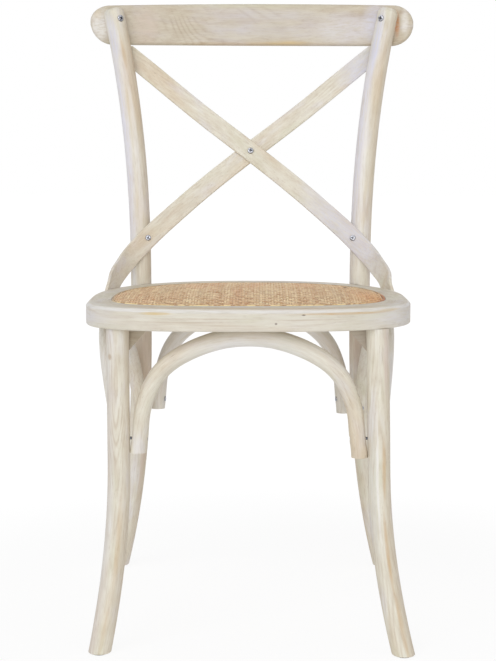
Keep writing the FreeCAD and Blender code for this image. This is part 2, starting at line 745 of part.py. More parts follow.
def make_side_hoop(side):
    curve = spline_through([at(*row) for row in side_hoop_rows(side)])
    hoop = rod(curve, hoop_radius, V(1, 0, 0), 2 * LOFT_STATIONS - 1)
    hoop = hoop.cut(half_space(V(0, 0, HOOP_END_HEIGHT), V(0, 0, -1)))
    return hoop.cut(under_ring_plane())


def make_corner_block(side):
    """A small triangular block behind a front leg, glued under the ring."""
    inner = side * (FRONT_LEG_TOP_HALF[side] - LEG_RADIUS / 2)
    back = FRONT_LEG_SETBACK + LEG_RADIUS - 1.0
    top = ring_under(0) + 2
    reach = BLOCK_WIDTH + LEG_RADIUS / 2
    corners = [at(inner, back, top), at(inner - side * reach, back, top),
               at(inner, back, top - BLOCK_DROP * reach / BLOCK_WIDTH - 2),
               at(inner, back, top)]
    block = Part.Face(Part.makePolygon(corners)).extrude(V(0, BLOCK_THICKNESS, 0))
    return block.cut(under_ring_plane())


# Fastener positions: seat point and direction

def post_screws():
    """Through the top of each post into the crest rail, from the inner front."""
    seats = []
    z = REAR_TOP_HEIGHT - 14.5
    for side in SIDES:
        centre = rear_leg_point(side, z)
        direction = unit(V(side * 0.62, 0.78, 0.0))
        seats.append((centre - direction * (LEG_RADIUS - 0.9), direction))
    return seats


def slat_post_screws(lift):
    seats = []
    for side in SIDES:
        centre, _, face = slat_stations(side, lift[side])[7]
        face = unit(V(side * face.x, face.y, face.z))
        seat = at(side * centre.x, centre.y, centre.z) + face * (SLAT_THICKNESS / 2 - 0.3)
        seats.append((seat, face * -1))
    return seats


def slat_top_screws(lift):
    """From behind, through the slat's upper end into the back of the post."""
    seats = []
    for side in SIDES:
        centre, _, face = slat_stations(side, lift[side])[1]
        face = unit(V(side * face.x, face.y, face.z))
        seat = at(side * centre.x, centre.y, centre.z) - face * (SLAT_THICKNESS / 2 - 0.3)
        seats.append((seat, face))
    return seats


def slat_foot_screws(lift):
    """From outside, through the slat's lower end into the ring."""
    seats = []
    for side in SIDES:
        before, after = slat_stations(side, lift[side])[-3:-1]
        middle = (before[0] + after[0]) * 0.5
        face = unit(V(side * (before[2].x + after[2].x), before[2].y + after[2].y, 0))
        seat = at(side * middle.x, middle.y, middle.z) - face * (SLAT_THICKNESS / 2 - 0.3)
        seats.append((seat, face))
    return seats


def hoop_leg_screws():
    """Through each hoop end into its leg, from the inner side of the hoop."""
    seats = []
    z = HOOP_END_HEIGHT + 17.0
    front_half = front_hoop_half()
    rear_half, _ = rear_hoop_end()
    _, rear_setback = rear_leg_centre(z)
    bite = HOOP_END_RADIUS - 0.8
    for side in SIDES:
        front = at(side * front_half[side], FRONT_LEG_SETBACK, z + 6)
        rear = at(side * rear_half[side], rear_setback, z)
        seats.append((front - V(side * bite, 0, 0), V(side, 0, 0)))
        seats.append((rear - V(side * bite, 0, 0), V(side, 0, 0)))
        rows = side_hoop_rows(side)
        first, last = rows[1], rows[-2]
        seats.append((at(side * FRONT_LEG_KNEE_HALF, first[1] + bite, z - 8), V(0, -1, 0)))
        seats.append((at(last[0], last[1] - bite, z - 8), V(0, 1, 0)))
    return seats


def hoop_crown_screws():
    """Up through each hoop's crown into the seat ring, two to a hoop."""
    seats = []
    up = unit(V(0, SLOPE, 1))
    spots = [(x, FRONT_LEG_SETBACK) for x in (-30, 30)]
    spots += [(x, RING_DEPTH - RING_REAR_WALL / 2) for x in (-30, 30)]
    for side in SIDES:
        rows = side_hoop_rows(side)
        spots += [(rows[6][0] - side * 0.5, rows[6][1] + y) for y in (-18, 18)]
    for x, setback in spots:
        seats.append((at(x, setback, ring_under(setback) - HOOP_CROWN_DIAMETER + 4.5), up))
    return seats


def board_screws():
    """Up through the ring's ledge into the seat board."""
    up = unit(V(0, SLOPE, 1))
    seats = []
    for side in SIDES:
        half = opening_half()[side] - LEDGE_WIDTH / 2 - 1.6
        for setback in (OPENING_WIDEST_SETBACK - 24, OPENING_WIDEST_SETBACK + 24):
            seats.append((at(side * half, setback, ring_under(setback) + 1.8), up))
    return seats


def rear_bolt_line(side):
    """Outer seat of a rear leg's bolt, and its direction towards the middle of the seat."""
    z = ring_under(REAR_LEG_WAIST_SETBACK) + (RING_THICKNESS - RABBET_DEPTH) / 2 + 0.5
    half, setback = rear_leg_centre(z)
    _, outward = ring_side_point(setback_on_ring(half - 7.0, side), side)
    direction = outward * -1
    return at(side * half, setback, z) - direction * (LEG_RADIUS - 3.0), direction


def rear_bolt_span():
    return LEG_RADIUS - 3.0 + 8.5 + RING_REAR_WALL - LEDGE_WIDTH + 8.0


def make_rear_bolts():
    bolts, nuts, washers, holes = [], [], [], []
    span = rear_bolt_span()
    for side in SIDES:
        seat, direction = rear_bolt_line(side)
        size = (BOLT_HEAD_DIAMETER, BOLT_HEAD_HEIGHT, BOLT_DIAMETER, span + NUT_HEIGHT + 3)
        bolts.append(screw(seat, direction, size))
        inner = seat + direction * span
        ring_washer = cylinder(inner, direction, WASHER_DIAMETER, WASHER_THICKNESS)
        bore = cylinder(inner, direction, BOLT_DIAMETER + 2 * HOLE_GAP, WASHER_THICKNESS)
        washers.append(ring_washer.cut(bore))
        nut_base = inner + direction * WASHER_THICKNESS
        nut = hexagon(NUT_ACROSS_FLATS, NUT_HEIGHT, nut_base, direction)
        nuts.append(nut.cut(cylinder(nut_base, direction, BOLT_DIAMETER + 2 * HOLE_GAP, NUT_HEIGHT)))
        through = cylinder(seat, direction, BOLT_DIAMETER + 2 * HOLE_GAP, span + 20)
        sink = cylinder(seat - direction * 12, direction, BOLT_HEAD_DIAMETER + 2 * FIT_GAP, 12)
        spot = cylinder(inner, direction, WASHER_DIAMETER + 2, 30)
        holes.append(through.fuse([sink, spot]))
    return bolts, nuts, washers, holes


def cross_bolt_line():
    centre, _, face = slat_stations(RIGHT, 0.0)[4]
    return at(0, centre.y, centre.z), unit(face) * -1


def make_cross_bolt():
    centre, direction = cross_bolt_line()
    half = SLAT_THICKNESS + FIT_GAP / 2
    front = centre - direction * half
    size = (CROSS_HEAD_DIAMETER, CROSS_HEAD_HEIGHT, CROSS_BOLT_DIAMETER,
            2 * half + CROSS_NUT_HEIGHT * 0.7)
    bolt = screw(front, direction, size)
    back = centre + direction * half
    nut = cylinder(back, direction, CROSS_NUT_DIAMETER, CROSS_NUT_HEIGHT)
    rim = [e for e in nut.Edges if e.Closed
           and e.CenterOfMass.distanceToPoint(back + direction * CROSS_NUT_HEIGHT) < 0.01]
    nut = nut.makeFillet(0.6 * CROSS_NUT_HEIGHT, rim)
    bore = cylinder(back, direction, CROSS_BOLT_DIAMETER + 2 * HOLE_GAP, CROSS_NUT_HEIGHT * 0.8)
    hole = cylinder(front - direction, direction, CROSS_BOLT_DIAMETER + 2 * HOLE_GAP, 2 * half + 2)
    return bolt, nut.cut(bore), hole


def all_of(seats, size):
    screws = [screw(seat, direction, size) for seat, direction in seats]
    holes = [screw_hole(seat, direction, size) for seat, direction in seats]
    return screws, holes


def build():
    lift = by_side(SLAT_THICKNESS / 2 + FIT_GAP / 2, -SLAT_THICKNESS / 2 - FIT_GAP / 2)
    parts = {}

    posts, post_holes = all_of(post_screws(), POST_SCREW)
    slat_posts, slat_post_holes = all_of(slat_post_screws(lift), SLAT_SCREW)
    slat_tops, slat_top_holes = all_of(slat_top_screws(lift), SLAT_SCREW)
    slat_feet, slat_foot_holes = all_of(slat_foot_screws(lift), SLAT_SCREW)
    hoop_ends, hoop_end_holes = all_of(hoop_leg_screws(), HOOP_SCREW)
    hoop_crowns, hoop_crown_holes = all_of(hoop_crown_screws(), HOOP_CROWN_SCREW)
    boards, board_holes = all_of(board_screws(), BOARD_SCREW)
    bolts, nuts, washers, bolt_holes = make_rear_bolts()
    cross_bolt, cross_nut, cross_hole = make_cross_bolt()
    glides, glide_holes = make_glides()

    ring = make_ring()
    ring_space = outline_prism(ring_outer(-FIT_GAP), -RING_THICKNESS - FIT_GAP, FIT_GAP)
    rear_legs = {side: make_rear_leg(side) for side in SIDES}
    crest = make_crest()
    slats = {side: make_slat_blank(side, lift[side]) for side in SIDES}

    above_crest = half_space(V(0, 0, CREST_TOP_HEIGHT - CREST_HEIGHT - SLAT_CREST_GAP), V(0, 0, 1))
    for side in SIDES:
        other = -side
        slats[side] = slats[side].cut(above_crest).cut(ring_space)
        rear_legs[side] = rear_legs[side].cut(slats[side])
        rear_legs[other] = rear_legs[other].cut(slats[side])
    slats[LEFT] = slats[LEFT].cut(slats[RIGHT])
    for side in SIDES:
        crest = crest.cut(rear_legs[side])
        rear_legs[side] = rear_legs[side].cut(ring_space)

    leg_holes = Part.makeCompound(post_holes + slat_post_holes + slat_top_holes
                                  + hoop_end_holes + bolt_holes + glide_holes)
    slat_holes = Part.makeCompound(slat_post_holes + slat_top_holes + slat_foot_holes + [cross_hole])
    ring_holes = Part.makeCompound(slat_foot_holes + hoop_crown_holes + board_holes + bolt_holes)
    hoop_holes = Part.makeCompound(hoop_end_holes + hoop_crown_holes)

    blocks = []
    for side in SIDES:
        word = "left" if side == LEFT else "right"
        front_leg = make_front_leg(side)
        ring = ring.cut(front_tenon(side, HOLE_GAP))
        blocks.append(make_corner_block(side).cut(front_leg))
        parts["front_leg_" + word] = front_leg.cut(leg_holes)
        parts["rear_leg_" + word] = rear_legs[side].cut(leg_holes)
        parts["hoop_" + word] = make_side_hoop(side).cut(hoop_holes)
    parts["seat_ring"] = ring.cut(ring_holes)
    parts["crest_rail"] = crest.cut(Part.makeCompound(post_holes))
    parts["cross_slat_front"] = slats[RIGHT].cut(slat_holes)
    parts["cross_slat_rear"] = slats[LEFT].cut(slat_holes)
    parts["hoop_front"] = make_front_hoop().cut(hoop_holes)
    parts["hoop_rear"] = make_rear_hoop().cut(hoop_holes)
    parts["corner_blocks"] = Part.makeCompound(blocks)

    board = make_board()
    parts["cane_seat"] = make_cane(board)
    parts["seat_board"] = board.cut(Part.makeCompound(board_holes))

    parts["crest_rail_screws"] = Part.makeCompound(posts)
    parts["slat_post_screws"] = Part.makeCompound(slat_posts)
    parts["slat_top_screws"] = Part.makeCompound(slat_tops)
    parts["slat_foot_screws"] = Part.makeCompound(slat_feet)
    parts["hoop_leg_screws"] = Part.makeCompound(hoop_ends)
    parts["hoop_crown_screws"] = Part.makeCompound(hoop_crowns)
    parts["seat_board_screws"] = Part.makeCompound(boards)
    parts["rear_leg_bolts"] = Part.makeCompound(bolts)
    parts["rear_leg_nuts"] = Part.makeCompound(nuts)
    parts["rear_leg_washers"] = Part.makeCompound(washers)
    parts["cross_bolt"] = cross_bolt
    parts["cross_nut"] = cross_nut
    parts["foot_glides"] = Part.makeCompound(glides)
    return parts


def main():
    os.makedirs("parts", exist_ok=True)
    for name, shape in build().items():
        solids = shape.Solids
        volume = sum(s.Volume for s in solids)
        print(f"{name:22s} solids {len(solids)}  volume {volume / 1000:9.2f} cm3  valid {shape.isValid()}")
        shape = solids[0] if len(solids) == 1 else Part.makeCompound(solids)
        shape.exportStep(os.path.join("parts", name + ".step"))


main()
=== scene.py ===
"""Limed cross back chair: materials, woven seat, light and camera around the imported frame."""

import math
import random

import bpy
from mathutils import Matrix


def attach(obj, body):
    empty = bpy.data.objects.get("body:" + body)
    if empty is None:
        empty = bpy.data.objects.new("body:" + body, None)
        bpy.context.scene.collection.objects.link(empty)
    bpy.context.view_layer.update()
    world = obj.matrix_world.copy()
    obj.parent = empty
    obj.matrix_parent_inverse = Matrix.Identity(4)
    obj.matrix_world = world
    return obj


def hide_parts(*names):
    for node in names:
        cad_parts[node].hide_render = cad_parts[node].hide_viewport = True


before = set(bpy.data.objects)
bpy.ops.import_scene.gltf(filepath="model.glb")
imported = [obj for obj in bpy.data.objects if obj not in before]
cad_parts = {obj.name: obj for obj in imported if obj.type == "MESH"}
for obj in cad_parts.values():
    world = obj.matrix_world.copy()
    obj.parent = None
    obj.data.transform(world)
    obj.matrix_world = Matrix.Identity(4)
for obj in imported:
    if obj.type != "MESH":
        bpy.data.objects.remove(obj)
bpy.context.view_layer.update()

MM = 0.001
LEFT, RIGHT = -1, 1
# Setbacks are mm behind the seat ring's foremost point, and the origin is this far behind it
ORIGIN_SETBACK = 245.7
SEAT_HEIGHT = 476.2
SLOPE = math.tan(math.radians(1.0))


def srgb(red, green, blue):
    """Linear colour of a tone given in the usual 0 to 255 steps."""
    steps = [value / 255 for value in (red, green, blue)]
    linear = [s / 12.92 if s <= 0.04045 else ((s + 0.055) / 1.055) ** 2.4 for s in steps]
    return tuple(linear + [1.0])


# Node trees


class Graph:
    """Short calls that add nodes to one node tree."""

    def __init__(self, tree):
        self.tree = tree

    def add(self, kind, **settings):
        node = self.tree.nodes.new(kind)
        for key, value in settings.items():
            setattr(node, key, value)
        return node

    def feed(self, socket, value):
        if isinstance(value, bpy.types.NodeSocket):
            self.tree.links.new(value, socket)
        else:
            socket.default_value = value

    def math(self, operation, *values):
        node = self.add("ShaderNodeMath", operation=operation)
        for socket, value in zip(node.inputs, values):
            self.feed(socket, value)
        return node.outputs[0]

    def total(self, *values):
        result = values[0]
        for value in values[1:]:
            result = self.math("ADD", result, value)
        return result

    def times(self, a, b):
        return self.math("MULTIPLY", a, b)

    def scaled(self, value, factor, offset=0.0):
        return self.math("MULTIPLY_ADD", value, factor, offset)

    def place(self):
        """Position in the chair's own frame, in metres."""
        return self.add("ShaderNodeTexCoord").outputs["Object"]

    def split(self, vector):
        node = self.add("ShaderNodeSeparateXYZ")
        self.feed(node.inputs[0], vector)
        return node.outputs

    def join(self, x, y, z):
        node = self.add("ShaderNodeCombineXYZ")
        for socket, value in zip(node.inputs, (x, y, z)):
            self.feed(socket, value)
        return node.outputs[0]

    def stretch(self, vector, scale, offset=(0.0, 0.0, 0.0)):
        node = self.add("ShaderNodeVectorMath", operation="MULTIPLY_ADD")
        self.feed(node.inputs[0], vector)
        node.inputs[1].default_value = scale
        self.feed(node.inputs[2], offset)
        return node.outputs[0]

    def length(self, vector):
        node = self.add("ShaderNodeVectorMath", operation="LENGTH")
        self.feed(node.inputs[0], vector)
        return node.outputs["Value"]

    def noise(self, vector, detail=2.0, roughness=0.5):
        node = self.add("ShaderNodeTexNoise")
        self.feed(node.inputs["Vector"], vector)
        node.inputs["Scale"].default_value = 1.0
        node.inputs["Detail"].default_value = detail
        node.inputs["Roughness"].default_value = roughness
        return node.outputs["Fac"]

    def window(self, value, low, high, to_low=0.0, to_high=1.0):
        """Smooth change from to_low to to_high as value goes from low to high."""
        node = self.add("ShaderNodeMapRange", interpolation_type="SMOOTHSTEP")
        for socket, item in zip(node.inputs, (value, low, high, to_low, to_high)):
            self.feed(socket, item)
        return node.outputs[0]

    def mix(self, share, a, b, blend="MIX"):
        node = self.add("ShaderNodeMix", data_type="RGBA", blend_type=blend)
        self.feed(node.inputs[0], share)
        self.feed(node.inputs[6], a)
        self.feed(node.inputs[7], b)
        return node.outputs[2]

    def stain(self, base, value, low, high, share, tone):
        """Base with tone laid over it, up to share, as value goes from low to high."""
        return self.mix(self.scaled(self.window(value, low, high), share), base, tone)

    def curve(self, value, points):
        """Smooth curve through (place, result) pairs, both from 0 to 1."""
        node = self.add("ShaderNodeFloatCurve")
        line = node.mapping.curves[0]
        line.points[0].location = points[0]
        line.points[1].location = points[-1]
        for place, result in points[1:-1]:
            line.points.new(place, result)
        node.mapping.update()
        self.feed(node.inputs["Value"], value)
        return node.outputs[0]

    def spot(self, place, centre, size):
        """1 at centre, falling smoothly to 0 at size away from it along each axis."""
        scale = tuple(1 / s for s in size)
        offset = tuple(-c / s for c, s in zip(centre, size))
        return self.window(self.length(self.stretch(place, scale, offset)), 1.0, 0.25)

    def surface(self, shader, colour, roughness, height, strength, depth):
        """Colour, roughness and a fine relief up to depth in metres."""
        self.feed(shader.inputs["Base Color"], colour)
        self.feed(shader.inputs["Roughness"], roughness)
        bump = self.add("ShaderNodeBump")
        bump.inputs["Strength"].default_value = strength
        bump.inputs["Distance"].default_value = depth
        self.feed(bump.inputs["Height"], height)
        self.feed(shader.inputs["Normal"], bump.outputs["Normal"])


def new_material(name):
    material = bpy.data.materials.new(name)
    material.use_nodes = True
    graph = Graph(material.node_tree)
    shader = material.node_tree.nodes["Principled BSDF"]
    return material, graph, shader


# Limed wood

CREAM = srgb(226, 221, 206)
DULL_CREAM = srgb(214, 206, 189)
CHALK = srgb(236, 233, 222)
WHITE = srgb(240, 238, 235)
BONE = srgb(221, 217, 209)
BEIGE = srgb(207, 195, 175)
SAND = srgb(206, 186, 160)
BROWN = srgb(186, 166, 142)
TAN = srgb(203, 174, 134)
OCHRE = srgb(214, 184, 122)
RUST = srgb(206, 150, 104)
OLIVE = srgb(210, 207, 182)
LAVENDER = srgb(226, 224, 233)
COOL = srgb(212, 212, 228)
SILVER = srgb(212, 212, 206)
MAUVE = srgb(206, 202, 206)
PINKISH = srgb(214, 196, 184)
PORE = srgb(150, 124, 98)
SPECK = srgb(96, 74, 62)
SHADE = srgb(200, 186, 170)

RING_SPACING = 0.0052
RING_SHARPNESS = 2.6
WOOD_GLOSS = 0.28
SEED_STEP = 3.17
WOOD_NUMBERS = (("Swirl", 0.0), ("Warmth", 0.3), ("Shade", 0.0), ("Figure", 0.5))
WOOD_RESULTS = (("Color", "NodeSocketColor"), ("Roughness", "NodeSocketFloat"),
                ("Height", "NodeSocketFloat"))


def wood_sockets(tree):
    interface = tree.interface
    for name in ("Grain", "Pith"):
        interface.new_socket(name, in_out="INPUT", socket_type="NodeSocketVector")
    for name, value in WOOD_NUMBERS:
        socket = interface.new_socket(name, in_out="INPUT", socket_type="NodeSocketFloat")
        socket.default_value = value
    for name, kind in WOOD_RESULTS:
        interface.new_socket(name, in_out="OUTPUT", socket_type=kind)


def growth_rings(g, source):
    """0 to 1 across each growth ring. Pith: how far across and behind the middle of the tree
    lies, and how fast the rings open along the piece."""
    grain = source["Grain"]
    along, across, through = g.split(grain)
    pith_across, pith_behind, taper = g.split(source["Pith"])
    sway = g.noise(g.stretch(grain, (4.0, 13.0, 13.0)), 2.0)
    ripple = g.noise(g.stretch(grain, (14.0, 75.0, 75.0), (3.3, 6.1, 1.2)), 1.0)
    ring_x = g.total(across, pith_across, g.scaled(sway, 0.022, -0.011))
    ring_y = g.total(through, pith_behind)
    radius = g.math("SQRT", g.math("ADD", g.times(ring_x, ring_x), g.times(ring_y, ring_y)))
    radius = g.total(radius, g.times(taper, along), source["Swirl"], g.scaled(ripple, 0.0042))
    ring = g.scaled(g.math("SINE", g.scaled(radius, 2 * math.pi / RING_SPACING)), 0.5, 0.5)
    return g.math("POWER", ring, RING_SHARPNESS)


def wood_group():
    """Open-grained pale wood with lime in its pores. Grain: metres along, across and through
    the piece."""
    tree = bpy.data.node_groups.new("limed_grain", "ShaderNodeTree")
    wood_sockets(tree)
    g = Graph(tree)
    source = g.add("NodeGroupInput").outputs
    ring = growth_rings(g, source)

    def texture(along, across, offset, detail, roughness=0.5):
        """Noise with so many features a metre along and across the grain."""
        scale = (along, across, across)
        return g.noise(g.stretch(source["Grain"], scale, offset), detail, roughness)

    fibre = texture(34.0, 420.0, (0.0, 0.0, 0.0), 4.0, 0.66)
    streak = texture(7.0, 130.0, (1.7, 0.3, 4.4), 3.0, 0.55)
    dash = texture(95.0, 1400.0, (3.1, 7.7, 0.9), 1.0)
    fade = texture(9.0, 34.0, (7.2, 4.8, 3.6), 2.0)
    patch = texture(6.0, 30.0, (9.2, 1.3, 6.6), 3.0)
    cloud = texture(14.0, 48.0, (0.4, 8.8, 2.2), 2.0)
    haze = texture(30.0, 90.0, (6.4, 0.8, 5.2), 2.0)

    pore = g.times(g.window(dash, 0.61, 0.72), g.scaled(ring, 0.6, 0.4))
    figure = g.times(g.times(ring, g.window(fade, 0.42, 0.66)), source["Figure"])
    warm = g.times(g.window(patch, 0.47, 0.70), source["Warmth"])
    base = g.mix(g.window(haze, 0.34, 0.78), CREAM, DULL_CREAM)
    base = g.stain(base, cloud, 0.50, 0.72, 0.42, LAVENDER)
    base = g.stain(base, cloud, 0.46, 0.26, 0.50, OLIVE)
    base = g.stain(base, streak, 0.45, 0.72, 0.38, BEIGE)
    base = g.mix(warm, base, TAN)
    base = g.mix(g.scaled(figure, 0.55), base, BROWN)
    base = g.stain(base, fibre, 0.48, 0.72, 0.30, BROWN)
    base = g.stain(base, fibre, 0.48, 0.28, 0.35, CHALK)
    base = g.mix(g.scaled(pore, 0.34), base, PORE)
    # Shade darkens the whole piece towards SHADE: painted shade, set per piece
    base = g.mix(source["Shade"], base, g.mix(1.0, base, SHADE, "MULTIPLY"))
    relief = g.total(g.scaled(fibre, 0.5), g.scaled(ring, -0.2))

    sink = g.add("NodeGroupOutput").inputs
    g.feed(sink["Color"], base)
    g.feed(sink["Roughness"], g.scaled(fibre, 0.22, 0.44))
    g.feed(sink["Height"], g.math("SUBTRACT", relief, g.scaled(pore, 0.8)))
    return tree


WOOD = wood_group()


def limed(name, grain_of, seed, pith=(0.03, 0.02, 0.05), marks=(), swirls=(), edge_light_and_shade=(0.0, 0.0),
          **numbers):
    """Limed wood for a CAD node. grain_of turns x, y, z sockets into along, across and through.

    Marks are (centre, size, strength, tone) and swirls (centre, size, lift), both in metres
    along, across and through. Marks carry the wood's own tones and also painted light and shade.
    The edge pair gives the strengths of a cool painted highlight down the left edge and of warm
    painted shade down the right edge.
    """
    material, g, shader = new_material(name)
    along, across, through = grain_of(g, *g.split(g.place()))
    inside = g.join(along, across, through)
    group = g.add("ShaderNodeGroup", node_tree=WOOD)
    g.feed(group.inputs["Grain"], g.join(g.total(along, seed * SEED_STEP), across, through))
    group.inputs["Pith"].default_value = pith
    for key, value in numbers.items():
        group.inputs[key.capitalize()].default_value = value
    if swirls:
        lifts = [g.times(g.spot(inside, centre, size), lift) for centre, size, lift in swirls]
        g.feed(group.inputs["Swirl"], g.total(*lifts))
    colour = group.outputs["Color"]
    # Painted light at the sides: a cool painted highlight down the left edge, warm painted shade
    # down the right edge
    edge_highlight, warm = edge_light_and_shade
    if edge_highlight:
        colour = g.stain(colour, across, -0.001, -0.012, edge_highlight, LAVENDER)
    if warm:
        colour = g.stain(colour, across, 0.003, 0.014, warm, SAND)
    # Marks, the wood's own tones and painted light and shade alike, are broken into streaks along
    # the fibres
    mark_streaks = g.noise(g.stretch(inside, (40.0, 420.0, 420.0)), 3.0, 0.6)
    mark_streaks = g.window(mark_streaks, 0.30, 0.62, 0.45, 1.0)
    for centre, size, strength, tone in marks:
        spot = g.times(g.spot(inside, centre, size), mark_streaks)
        colour = g.mix(g.times(spot, strength), colour, tone)
    shader.inputs["Specular IOR Level"].default_value = WOOD_GLOSS
    g.surface(shader, colour, group.outputs["Roughness"], group.outputs["Height"], 0.35, 0.0004)
    return material


def dress(node, material):
    """Puts one material on every slot of a CAD node."""
    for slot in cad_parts[node].material_slots:
        slot.material = material


# Grain directions

FRONT_LEG_TOP, FRONT_LEG_RISE = 470.0, 186.7
FRONT_TOP_HALF = {LEFT: 177.0, RIGHT: 173.0}
FRONT_FOOT_HALF = {LEFT: 204.3, RIGHT: 211.0}
FRONT_FOOT_SETBACK = {LEFT: 23.5, RIGHT: 15.5}
KNEE_HEIGHT, KNEE_HALF, KNEE_SETBACK = 260.0, 176.6, 47.0
WAIST_HEIGHT, WAIST_HALF, WAIST_SETBACK = 448.0, 165.2, 360.0
REAR_LEG_TOP = 881.5
LEG_STEPS = 12

RING_HALF, RING_FRONT_DEPTH, RING_REAR_DEPTH = 0.2243, 0.146, 0.260
RING_WIDEST = RING_FRONT_DEPTH - ORIGIN_SETBACK * MM
RING_FRONT_POWER, RING_REAR_POWER = 3.1, 2.4
RING_ALONG, RING_ACROSS = 0.21, 0.2
SLAT_ANGLE = math.radians(39.8)


def followed(g, value, top, offsets):
    """Offset of a bent centre line at value, from offsets at even steps from 0 to top."""
    low, high = min(offsets), max(offsets)
    last = len(offsets) - 1
    points = [(i / last, (offset - low) / (high - low)) for i, offset in enumerate(offsets)]
    return g.scaled(g.curve(g.scaled(value, 1 / top), points), high - low, low)


def front_leg_centre(side, z):
    """Half spread and setback of a front leg's centre line in mm."""
    flare = max(0.0, (KNEE_HEIGHT - z) / KNEE_HEIGHT) ** 1.9
    rise = max(0.0, (z - KNEE_HEIGHT) / FRONT_LEG_RISE)
    half = KNEE_HALF + (FRONT_FOOT_HALF[side] - KNEE_HALF) * flare
    half += (FRONT_TOP_HALF[side] - KNEE_HALF) * rise
    return half, KNEE_SETBACK - (KNEE_SETBACK - FRONT_FOOT_SETBACK[side]) * flare


def rear_leg_centre(side, z):
    """Half spread and setback of a rear leg's centre line in mm, the same on both sides."""
    if z >= WAIST_HEIGHT:
        share = (z - WAIST_HEIGHT) / (REAR_LEG_TOP - WAIST_HEIGHT)
        return WAIST_HALF + 44.3 * share ** 2.3, WAIST_SETBACK + 67.0 * share ** 1.35
    share = (WAIST_HEIGHT - z) / WAIST_HEIGHT
    return WAIST_HALF + 47.8 * share ** 2.4, WAIST_SETBACK + 116.0 * share ** 1.6


def leg_grain(side, centre, top):
    """Grain that follows a leg's bend."""
    rows = [centre(side, top * i / LEG_STEPS) for i in range(LEG_STEPS + 1)]
    spreads = [side * half * MM for half, _ in rows]
    setbacks = [(setback - ORIGIN_SETBACK) * MM for _, setback in rows]

    def grain(g, x, y, z):
        across = g.math("SUBTRACT", x, followed(g, z, top * MM, spreads))
        through = g.math("SUBTRACT", y, followed(g, z, top * MM, setbacks))
        return z, across, through

    return grain


def arch(g, u, w, half, height, power):
    """Way along an arch and distance out from it, from its own two axes."""
    a = g.math("ABSOLUTE", g.scaled(u, 1 / half))
    b = g.math("MAXIMUM", g.scaled(w, 1 / height), 0.0)
    inner = g.math("ADD", g.math("POWER", a, power), g.math("POWER", b, power))
    reach = g.math("POWER", inner, 1 / power)
    turn = g.math("ARCTAN2", g.scaled(u, 1 / half), b)
    below = g.math("MINIMUM", w, 0.0)
    along = g.math("SUBTRACT", g.scaled(turn, half), below)
    return along, g.scaled(reach, half, -half)


def cross_hoop_grain(half, base, crown, power):
    def grain(g, x, y, z):
        along, across = arch(g, x, g.scaled(z, 1.0, -base), half, crown - base, power)
        return along, across, y

    return grain


def side_hoop_grain(middle, half, base, crown, power):
    def grain(g, x, y, z):
        ahead, up = g.scaled(y, 1.0, -middle), g.scaled(z, 1.0, -base)
        along, across = arch(g, ahead, up, half, crown - base, power)
        return along, across, x

    return grain


def ring_grain(g, x, y, z):
    """Grain round the seat ring, with its scarf joint at the back. Heights are corrected for
    the seat's slope, so the ring's top lies at one height."""
    v = g.scaled(y, 1.0, -RING_WIDEST)
    ahead = g.math("LESS_THAN", v, 0.0)
    steepness = g.scaled(ahead, 1 / RING_FRONT_DEPTH - 1 / RING_REAR_DEPTH, 1 / RING_REAR_DEPTH)
    share = g.math("ABSOLUTE", g.times(v, steepness))
    across_share = g.math("ABSOLUTE", g.scaled(x, 1 / RING_HALF))
    power = g.scaled(ahead, RING_FRONT_POWER - RING_REAR_POWER, RING_REAR_POWER)
    inner = g.math("ADD", g.math("POWER", across_share, power), g.math("POWER", share, power))
    reach = g.math("POWER", inner, g.math("DIVIDE", 1.0, power))
    turn = g.math("ARCTAN2", g.scaled(x, 1 / RING_HALF), g.scaled(v, -1 / RING_FRONT_DEPTH))
    height = g.total(z, g.scaled(y, SLOPE, SLOPE * ORIGIN_SETBACK * MM))
    return g.scaled(turn, RING_ALONG), g.scaled(reach, RING_ACROSS), height


def level_grain(g, x, y, z):
    return x, z, y


def slat_grain(direction):
    """Grain along a slat that climbs to one side."""
    c, s = math.cos(SLAT_ANGLE), math.sin(SLAT_ANGLE)

    def grain(g, x, y, z):
        along = g.math("ADD", g.scaled(x, direction * c), g.scaled(z, s))
        across = g.math("ADD", g.scaled(x, -direction * s), g.scaled(z, c))
        return along, across, y

    return grain


# Wooden pieces


